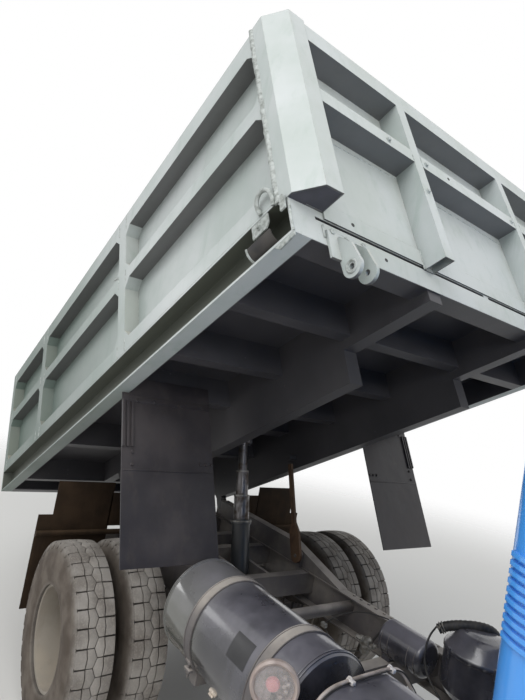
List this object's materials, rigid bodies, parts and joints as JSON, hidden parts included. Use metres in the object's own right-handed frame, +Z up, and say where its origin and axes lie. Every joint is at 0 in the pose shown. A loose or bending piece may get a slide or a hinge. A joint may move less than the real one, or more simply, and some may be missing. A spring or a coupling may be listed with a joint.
{
  "type": "dump truck",
  "caption": "Cab-over two-axle tipper with twin rear wheels, ladder frame, raised steel bed with tailgate, telescopic cylinder, steering and opening doors.",
  "frame": {"origin": "centre of the whole vehicle's bounding box, on the ground", "axes": "+X forwards, +Y to the vehicle's left, +Z up"},
  "size_m": [6.5234, 2.65, 3.4512],
  "materials": {
    "bed_paint": "worn grey-green enamel",
    "cab_paint": "glossy blue enamel",
    "chassis_paint": "black chassis paint with road dirt",
    "bumper_paint": "dark grey enamel",
    "tank_paint": "glossy black enamel",
    "flap_paint": "satin black sheet",
    "flap_rubber": "black rubber sheet",
    "spring_steel": "black oxide with rust",
    "engine_iron": "cast iron",
    "exhaust_steel": "rusted aluminised steel",
    "prop_paint": "brown primer, rusty",
    "cylinder_paint": "grey enamel with oil film",
    "cylinder_steel": "ground steel with oil film",
    "rim_paint": "dusty grey enamel",
    "tyre_rubber": "dusty black rubber",
    "window_glass": "clear toughened glass",
    "lamp_glass": "clear ribbed glass in a pale ring",
    "trim_plastic": "black moulded plastic",
    "seat_vinyl": "black vinyl"
  },
  "bodies": {
    "chassis": {"frame": "chassis_paint", "subframe": "chassis_paint", "cylinder_cradle": "chassis_paint", "front_bumper": "bumper_paint", "front_axle": "chassis_paint", "rear_axle": "chassis_paint", "leaf_springs": "spring_steel", "engine": "engine_iron", "prop_shaft": "chassis_paint", "fuel_tank": "tank_paint", "tank_straps": "chassis_paint", "air_filter": "tank_paint", "battery_box": "tank_paint", "work_lamp": "lamp_glass", "rear_flaps": "flap_rubber", "rear_lamps": "chassis_paint", "tow_jaw": "chassis_paint", "cab_shell": "cab_paint", "cab_glass": "window_glass", "grille": "bumper_paint", "headlamps": "lamp_glass", "mirrors": "trim_plastic", "seats": "seat_vinyl", "dashboard": "trim_plastic", "front_mudguards": "chassis_paint", "exhaust": "exhaust_steel", "air_reservoir": "tank_paint"},
    "bed": {"bed_floor": "bed_paint", "bed_front_wall": "bed_paint", "bed_corner_posts": "bed_paint", "bed_side_left": "bed_paint", "bed_side_right": "bed_paint", "bed_clevises": "bed_paint", "bed_flaps": "flap_paint"},
    "bed_prop": {"bed_prop": "prop_paint"},
    "tailgate": {"tailgate": "bed_paint"},
    "cylinder_barrel": {"cylinder_barrel": "cylinder_paint"},
    "cylinder_lower": {"cylinder_stage_lower": "cylinder_steel"},
    "cylinder_middle": {"cylinder_stage_middle": "cylinder_steel"},
    "cylinder_upper": {"cylinder_stage_upper": "cylinder_steel"},
    "door_left": {"door_left": "cab_paint", "door_glass_left": "window_glass"},
    "door_right": {"door_right": "cab_paint", "door_glass_right": "window_glass"},
    "knuckle_left": {"knuckle_left": "chassis_paint"},
    "knuckle_right": {"knuckle_right": "chassis_paint"},
    "tie_rod": {"tie_rod": "chassis_paint"},
    "steering_wheel": {"steering_wheel": "trim_plastic"},
    "front_wheel_left": {"front_rim_left": "rim_paint", "front_tyre_left": "tyre_rubber"},
    "front_wheel_right": {"front_rim_right": "rim_paint", "front_tyre_right": "tyre_rubber"},
    "rear_wheels_left": {"rear_rims_left": "rim_paint", "rear_tyres_left": "tyre_rubber"},
    "rear_wheels_right": {"rear_rims_right": "rim_paint", "rear_tyres_right": "tyre_rubber"}
  },
  "joints": [
    {"name": "bed_tip", "type": "hinge", "parent": "chassis", "child": "bed", "pos_m": [-1.879, 0, 0.95], "axis": [0, -1, 0], "range_deg": [-27, 23]},
    {"name": "barrel_lean", "type": "hinge", "parent": "chassis", "child": "cylinder_barrel", "pos_m": [-0.914, 0, 0.73], "axis": [0, -1, 0], "range_deg": [-14, 12]},
    {"name": "bed_prop_fold", "type": "hinge", "parent": "chassis", "child": "bed_prop", "pos_m": [-0.782, 0.3348, 0.93], "axis": [0, 1, 0], "range_deg": [-69, 59]},
    {"name": "lower_stage_slide", "type": "slide", "parent": "cylinder_barrel", "child": "cylinder_lower", "axis": [-0.2577, 0, 0.9662], "range_m": [-0.142, 0.12]},
    {"name": "middle_stage_slide", "type": "slide", "parent": "cylinder_lower", "child": "cylinder_middle", "axis": [-0.2577, 0, 0.9662], "range_m": [-0.142, 0.12]},
    {"name": "upper_stage_slide", "type": "slide", "parent": "cylinder_middle", "child": "cylinder_upper", "axis": [-0.2577, 0, 0.9662], "range_m": [-0.142, 0.12]},
    {"name": "tailgate_swing", "type": "hinge", "parent": "bed", "child": "tailgate", "pos_m": [-3.21267, 0, 1.66215], "axis": [0, 1, 0], "range_deg": [0, 85]},
    {"name": "door_left_swing", "type": "hinge", "parent": "chassis", "child": "door_left", "pos_m": [2.985, 1.112, 1.8], "axis": [0, 0, -1], "range_deg": [0, 65]},
    {"name": "door_right_swing", "type": "hinge", "parent": "chassis", "child": "door_right", "pos_m": [2.985, -1.112, 1.8], "axis": [0, 0, 1], "range_deg": [0, 65]},
    {"name": "steer_left", "type": "hinge", "parent": "chassis", "child": "knuckle_left", "pos_m": [2.171, 0.745, 0.485], "axis": [0, 0, 1], "range_deg": [-35, 35]},
    {"name": "steer_right", "type": "hinge", "parent": "chassis", "child": "knuckle_right", "pos_m": [2.171, -0.745, 0.485], "axis": [0, 0, 1], "range_deg": [-35, 35]},
    {"name": "tie_rod_slide", "type": "slide", "parent": "chassis", "child": "tie_rod", "axis": [0, 1, 0], "range_m": [-0.11, 0.11]},
    {"name": "steering_wheel_turn", "type": "hinge", "parent": "chassis", "child": "steering_wheel", "pos_m": [2.531, 0.6, 1.8], "axis": [-0.4703, 0, 0.8825], "range_deg": [-530, 530]},
    {"name": "front_left_spin", "type": "hinge", "parent": "knuckle_left", "child": "front_wheel_left", "pos_m": [2.171, 0.9925, 0.485], "axis": [0, 1, 0], "continuous": true},
    {"name": "front_right_spin", "type": "hinge", "parent": "knuckle_right", "child": "front_wheel_right", "pos_m": [2.171, -0.9925, 0.485], "axis": [0, 1, 0], "continuous": true},
    {"name": "rear_left_spin", "type": "hinge", "parent": "chassis", "child": "rear_wheels_left", "pos_m": [-1.029, 0.885, 0.485], "axis": [0, 1, 0], "continuous": true},
    {"name": "rear_right_spin", "type": "hinge", "parent": "chassis", "child": "rear_wheels_right", "pos_m": [-1.029, -0.885, 0.485], "axis": [0, 1, 0], "continuous": true}
  ],
  "couplings": [
    {"joint": "barrel_lean", "follows": "bed_tip", "ratio": 0.49},
    {"joint": "bed_prop_fold", "follows": "bed_tip", "ratio": 2.55},
    {"joint": "lower_stage_slide", "follows": "bed_tip", "m_per_rad": 0.29},
    {"joint": "middle_stage_slide", "follows": "bed_tip", "m_per_rad": 0.29},
    {"joint": "upper_stage_slide", "follows": "bed_tip", "m_per_rad": 0.29},
    {"joint": "steer_right", "follows": "steer_left", "ratio": 1},
    {"joint": "tie_rod_slide", "follows": "steer_left", "m_per_rad": -0.155},
    {"joint": "steering_wheel_turn", "follows": "steer_left", "ratio": 15}
  ]
}
